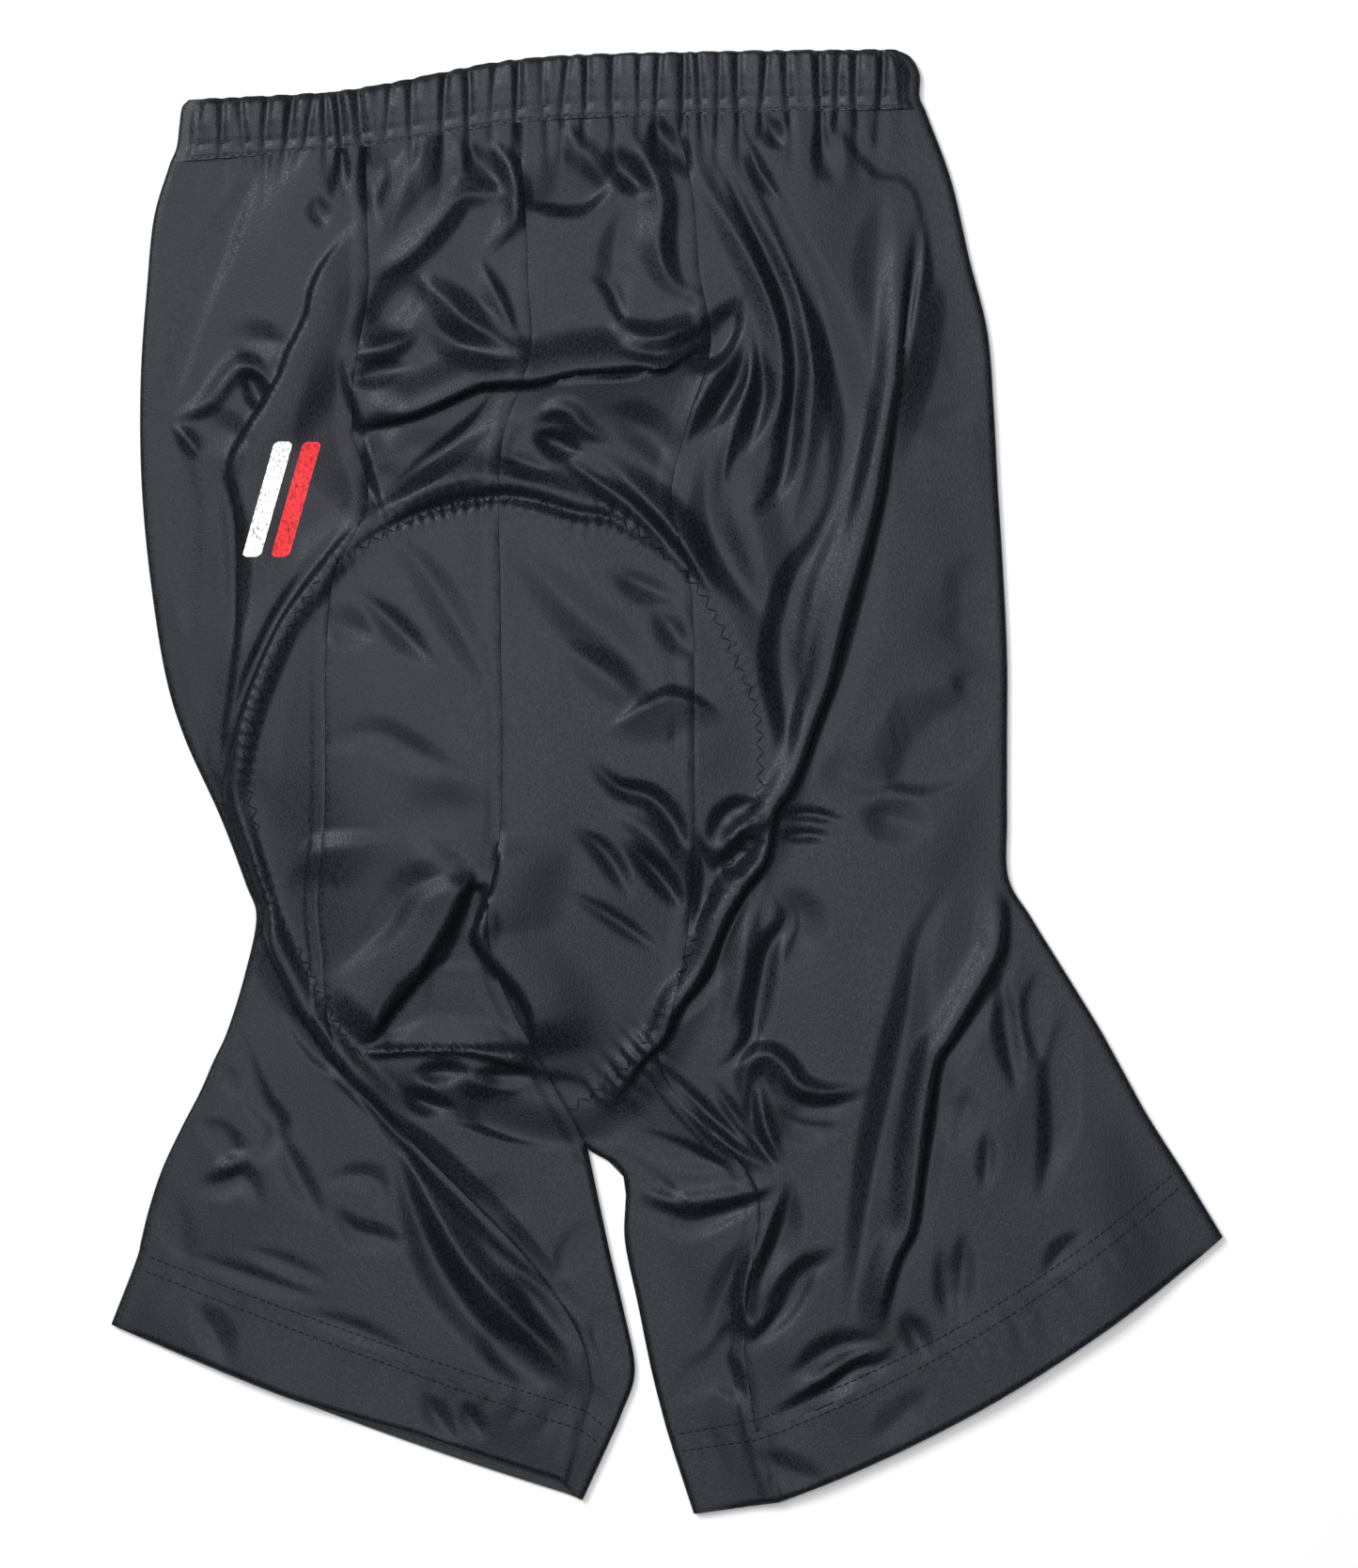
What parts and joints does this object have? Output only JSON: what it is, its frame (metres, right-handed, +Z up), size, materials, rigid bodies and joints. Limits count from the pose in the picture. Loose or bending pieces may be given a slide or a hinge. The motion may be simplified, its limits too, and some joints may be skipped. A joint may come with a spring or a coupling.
{
  "type": "cycling shorts",
  "caption": "Black stretch cycling shorts laid flat with the back side up, with a gathered waist casing, a sewn-in seat pad and twin-needle leg hems",
  "frame": {"origin": "on the surface that the shorts lie on, under the middle of their outline seen from above", "axes": "+X to the wearer's right-hand leg as the shorts lie, +Y towards the waist, +Z up from the surface to the back side"},
  "size_m": [0.4256, 0.5602, 0.0133],
  "materials": {
    "stretch_cloth": "near-black fine knit of polyamide and elastane, satin sheen",
    "casing_cloth": "the same knit, doubled and gathered on elastic",
    "pad_cloth": "brushed knit over foam, matt"
  },
  "bodies": {
    "root": {"waistband": "casing_cloth", "seat_pad": "pad_cloth", "side_left": "stretch_cloth", "side_right": "stretch_cloth", "centre_back_left": "stretch_cloth", "centre_back_right": "stretch_cloth", "centre_front_left": "stretch_cloth", "centre_front_right": "stretch_cloth", "hem_left": "stretch_cloth", "hem_right": "stretch_cloth"}
  },
  "joints": []
}
